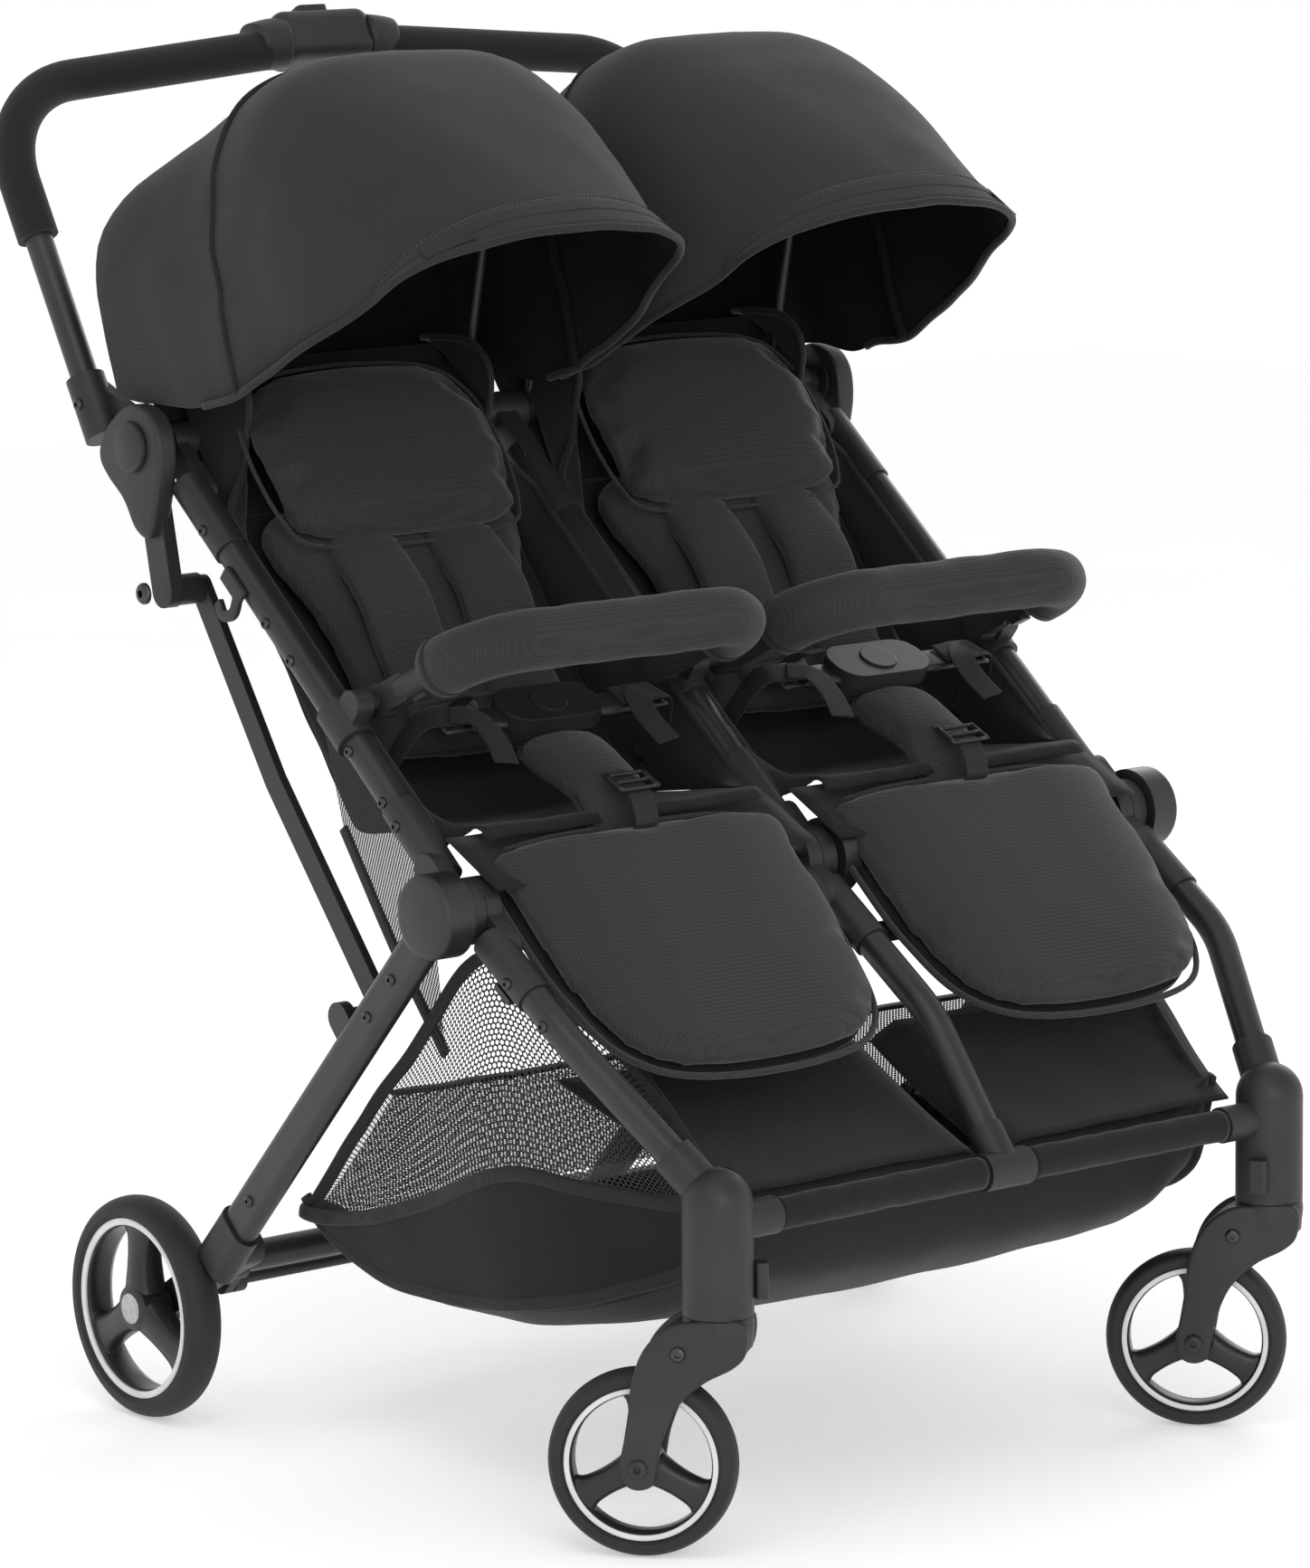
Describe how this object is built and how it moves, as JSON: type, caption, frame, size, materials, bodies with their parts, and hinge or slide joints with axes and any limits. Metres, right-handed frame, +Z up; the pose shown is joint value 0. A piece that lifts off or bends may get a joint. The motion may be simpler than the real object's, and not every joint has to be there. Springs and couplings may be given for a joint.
{
  "type": "twin folding buggy",
  "caption": "Side-by-side twin folding buggy with two hooded seats, bumper bars, footrests, basket, one push handle, swivel front castors and braked rear wheels.",
  "frame": {"origin": "centre of the bounding box on the floor", "axes": "+X to the viewer's right when looking at the front, -Y is the front, +Z up"},
  "size_m": [0.752, 0.8903, 1.0842],
  "materials": {
    "frame_metal": "satin black powder coat",
    "steel": "zinc plated",
    "moulding": "fine grained black moulding",
    "foam": "fine twill cover over foam",
    "grip_foam": "closed-cell foam",
    "canopy_cloth": "woven polyester",
    "seat_cloth": "woven polyester, padded",
    "mesh_cloth": "open mesh and woven panels",
    "webbing": "padded webbing cover",
    "tyre": "matt black",
    "rim": "black moulding with a pale ring"
  },
  "bodies": {
    "rear_frame": {"rear_legs": "frame_metal", "rear_cross_tube": "frame_metal", "rear_wheel_brackets": "moulding", "rear_axles": "steel", "hub_shaft": "steel"},
    "front_frame": {"front_legs": "frame_metal", "front_leg_sleeves": "moulding", "front_brace": "frame_metal", "front_cross_tube": "frame_metal", "castor_housings": "moulding", "basket": "mesh_cloth"},
    "seat_frame": {"seat_tubes": "frame_metal", "seat_lower_sleeves": "moulding", "seat_upper_sleeves": "moulding", "upper_hinge_pins": "steel", "bumper_mounts": "moulding", "seat_sling_left": "seat_cloth", "seat_sling_right": "seat_cloth", "crotch_pads": "webbing", "buckles": "moulding"},
    "handle": {"handle_tube": "frame_metal", "handle_grips": "grip_foam", "latch_housing": "moulding", "handle_brackets": "moulding"},
    "latch": {"latch_button": "moulding"},
    "levers": {"levers": "moulding"},
    "links": {"links": "moulding"},
    "brake": {"brake_bar": "moulding"},
    "backrest_left": {"back_pad_left": "seat_cloth", "head_pad_left": "seat_cloth"},
    "canopy_left": {"canopy_bow_left": "frame_metal", "canopy_rear_left": "canopy_cloth"},
    "canopy_visor_left": {"canopy_front_left": "canopy_cloth"},
    "bumper_left": {"bumper_bar_left": "foam", "bumper_adapters_left": "moulding"},
    "bumper_catch_left": {"bumper_release_left": "moulding"},
    "footrest_left": {"footrest_left": "seat_cloth"},
    "castor_left": {"castor_fork_left": "moulding"},
    "front_wheel_left": {"front_rim_left": "rim", "front_tyre_left": "tyre"},
    "rear_wheel_left": {"rear_rim_left": "rim", "rear_tyre_left": "tyre"},
    "castor_lock_left": {"castor_lock_left": "moulding"},
    "buckle_button_left": {"buckle_button_left": "moulding"},
    "backrest_right": {"back_pad_right": "seat_cloth", "head_pad_right": "seat_cloth"},
    "canopy_right": {"canopy_bow_right": "frame_metal", "canopy_rear_right": "canopy_cloth"},
    "canopy_visor_right": {"canopy_front_right": "canopy_cloth"},
    "bumper_right": {"bumper_bar_right": "foam", "bumper_adapters_right": "moulding"},
    "bumper_catch_right": {"bumper_release_right": "moulding"},
    "footrest_right": {"footrest_right": "seat_cloth"},
    "castor_right": {"castor_fork_right": "moulding"},
    "front_wheel_right": {"front_rim_right": "rim", "front_tyre_right": "tyre"},
    "rear_wheel_right": {"rear_rim_right": "rim", "rear_tyre_right": "tyre"},
    "castor_lock_right": {"castor_lock_right": "moulding"},
    "buckle_button_right": {"buckle_button_right": "moulding"}
  },
  "joints": [
    {"name": "seat_fold", "type": "hinge", "parent": "rear_frame", "child": "seat_frame", "pos_m": [0, -0.1912, 0.45], "axis": [1, 0, 0], "range_deg": [-64.3, 0], "deforming": ["basket", "seat_sling_left", "seat_sling_right", "crotch_pads", "back_pad_left", "head_pad_left", "canopy_rear_left", "canopy_front_left", "back_pad_right", "head_pad_right", "canopy_rear_right", "canopy_front_right"]},
    {"name": "front_fold", "type": "hinge", "parent": "rear_frame", "child": "front_frame", "pos_m": [0, -0.1912, 0.45], "axis": [1, 0, 0], "range_deg": [0, 57.75]},
    {"name": "handle_fold", "type": "hinge", "parent": "seat_frame", "child": "handle", "pos_m": [0, 0.18943, 0.76489], "axis": [1, 0, 0], "range_deg": [0, 153.05]},
    {"name": "lever_fold", "type": "hinge", "parent": "seat_frame", "child": "levers", "pos_m": [0, 0.18943, 0.76489], "axis": [1, 0, 0], "range_deg": [0, 66.65]},
    {"name": "link_fold", "type": "hinge", "parent": "rear_frame", "child": "links", "pos_m": [0, -0.0606, 0.3537], "axis": [1, 0, 0], "range_deg": [-90.45, 0]},
    {"name": "latch_press", "type": "slide", "parent": "handle", "child": "latch", "axis": [0, -0.4965, -0.868], "range_m": [0, 0.004], "stiffness_N_per_m": 400},
    {"name": "brake_press", "type": "hinge", "parent": "rear_frame", "child": "brake", "pos_m": [0, 0.1518, 0.106], "axis": [1, 0, 0], "range_deg": [-18, 0]},
    {"name": "recline_left", "type": "hinge", "parent": "seat_frame", "child": "backrest_left", "pos_m": [0, -0.0112, 0.506], "axis": [1, 0, 0], "range_deg": [-32, 0], "deforming": ["seat_sling_left"]},
    {"name": "canopy_tuck_left", "type": "hinge", "parent": "seat_frame", "child": "canopy_left", "pos_m": [0, 0.18943, 0.76489], "axis": [1, 0, 0], "range_deg": [0, 50.05]},
    {"name": "canopy_open_left", "type": "hinge", "parent": "canopy_left", "child": "canopy_visor_left", "pos_m": [0, 0.18943, 0.76489], "axis": [1, 0, 0], "range_deg": [-42, 0], "deforming": ["canopy_rear_left", "canopy_front_left"]},
    {"name": "bumper_tuck_left", "type": "hinge", "parent": "seat_frame", "child": "bumper_left", "pos_m": [0, -0.0601, 0.5896], "axis": [1, 0, 0], "range_deg": [0, 50.05]},
    {"name": "bumper_press_left", "type": "slide", "parent": "bumper_left", "child": "bumper_catch_left", "axis": [0, 0.4091, 0.9125], "range_m": [0, 0.0018], "stiffness_N_per_m": 400},
    {"name": "footrest_tilt_left", "type": "hinge", "parent": "front_frame", "child": "footrest_left", "pos_m": [0, -0.1912, 0.45], "axis": [1, 0, 0], "range_deg": [-38, 0]},
    {"name": "castor_swivel_left", "type": "hinge", "parent": "front_frame", "child": "castor_left", "pos_m": [-0.275, -0.4192, 0.17], "axis": [0, 0, 1], "continuous": true},
    {"name": "front_wheel_spin_left", "type": "hinge", "parent": "castor_left", "child": "front_wheel_left", "pos_m": [-0.31211, -0.37726, 0.07], "axis": [0.749, 0.6626, 0], "continuous": true},
    {"name": "rear_wheel_spin_left", "type": "hinge", "parent": "rear_frame", "child": "rear_wheel_left", "pos_m": [-0.36, 0.1868, 0.088], "axis": [1, 0, 0], "continuous": true},
    {"name": "castor_lock_left", "type": "slide", "parent": "front_frame", "child": "castor_lock_left", "axis": [0, 0, -1], "range_m": [0, 0.012]},
    {"name": "buckle_press_left", "type": "slide", "parent": "seat_frame", "child": "buckle_button_left", "axis": [0, 0.4179, -0.9085], "range_m": [0, 0.0014], "stiffness_N_per_m": 400},
    {"name": "recline_right", "type": "hinge", "parent": "seat_frame", "child": "backrest_right", "pos_m": [0, -0.0112, 0.506], "axis": [1, 0, 0], "range_deg": [-32, 0], "deforming": ["seat_sling_right"]},
    {"name": "canopy_tuck_right", "type": "hinge", "parent": "seat_frame", "child": "canopy_right", "pos_m": [0, 0.18943, 0.76489], "axis": [1, 0, 0], "range_deg": [0, 50.05]},
    {"name": "canopy_open_right", "type": "hinge", "parent": "canopy_right", "child": "canopy_visor_right", "pos_m": [0, 0.18943, 0.76489], "axis": [1, 0, 0], "range_deg": [-42, 0], "deforming": ["canopy_rear_right", "canopy_front_right"]},
    {"name": "bumper_tuck_right", "type": "hinge", "parent": "seat_frame", "child": "bumper_right", "pos_m": [0, -0.0601, 0.5896], "axis": [1, 0, 0], "range_deg": [0, 50.05]},
    {"name": "bumper_press_right", "type": "slide", "parent": "bumper_right", "child": "bumper_catch_right", "axis": [0, 0.4091, 0.9125], "range_m": [0, 0.0018], "stiffness_N_per_m": 400},
    {"name": "footrest_tilt_right", "type": "hinge", "parent": "front_frame", "child": "footrest_right", "pos_m": [0, -0.1912, 0.45], "axis": [1, 0, 0], "range_deg": [-38, 0]},
    {"name": "castor_swivel_right", "type": "hinge", "parent": "front_frame", "child": "castor_right", "pos_m": [0.275, -0.4192, 0.17], "axis": [0, 0, 1], "continuous": true},
    {"name": "front_wheel_spin_right", "type": "hinge", "parent": "castor_right", "child": "front_wheel_right", "pos_m": [0.23789, -0.37726, 0.07], "axis": [0.749, 0.6626, 0], "continuous": true},
    {"name": "rear_wheel_spin_right", "type": "hinge", "parent": "rear_frame", "child": "rear_wheel_right", "pos_m": [0.36, 0.1868, 0.088], "axis": [1, 0, 0], "continuous": true},
    {"name": "castor_lock_right", "type": "slide", "parent": "front_frame", "child": "castor_lock_right", "axis": [0, 0, -1], "range_m": [0, 0.012]},
    {"name": "buckle_press_right", "type": "slide", "parent": "seat_frame", "child": "buckle_button_right", "axis": [0, 0.4179, -0.9085], "range_m": [0, 0.0014], "stiffness_N_per_m": 400}
  ],
  "couplings": [
    {"joint": "front_fold", "follows": "seat_fold", "ratio": -0.89736},
    {"joint": "handle_fold", "follows": "seat_fold", "ratio": -2.3795},
    {"joint": "lever_fold", "follows": "seat_fold", "ratio": -1.0358},
    {"joint": "link_fold", "follows": "seat_fold", "ratio": 1.4059},
    {"joint": "canopy_tuck_left", "follows": "seat_fold", "ratio": -0.7776},
    {"joint": "bumper_tuck_left", "follows": "seat_fold", "ratio": -0.7776},
    {"joint": "canopy_tuck_right", "follows": "seat_fold", "ratio": -0.7776},
    {"joint": "bumper_tuck_right", "follows": "seat_fold", "ratio": -0.7776}
  ]
}
